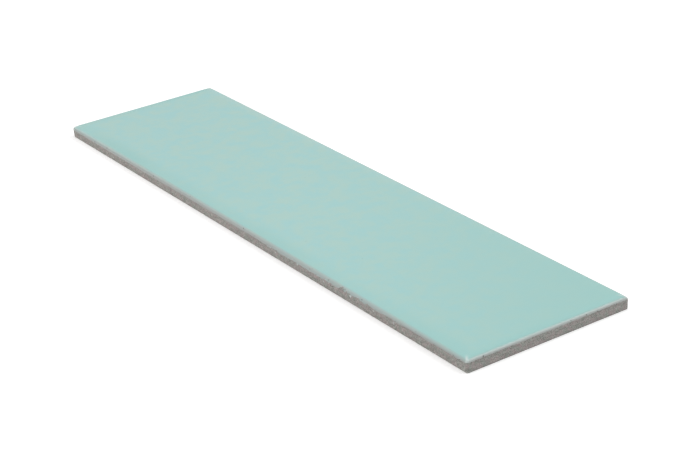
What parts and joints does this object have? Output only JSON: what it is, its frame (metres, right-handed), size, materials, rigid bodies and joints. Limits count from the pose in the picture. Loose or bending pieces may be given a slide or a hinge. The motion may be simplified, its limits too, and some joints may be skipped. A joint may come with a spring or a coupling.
{
  "type": "glazed wall tile",
  "caption": "Long rectangular ceramic wall tile lying on its back: plain glossy glazed face with rolled edges over an unglazed grey body with a keyed back.",
  "frame": {"origin": "middle of the tile's back, level with the tops of the ribs that it rests on", "axes": "+X along the tile's length, +Y across its width, +Z out of the glazed face"},
  "size_m": [0.4, 0.1, 0.0071],
  "materials": {
    "clay": "unglazed pressed clay body, fired, matt and finely grained, warm grey with darker and paler grains",
    "glaze": "plain glossy pale aqua glaze, thinner and greyer over the rolled edge and a little deeper just inside it"
  },
  "bodies": {
    "root": {"body": "clay", "glaze": "glaze"}
  },
  "joints": []
}
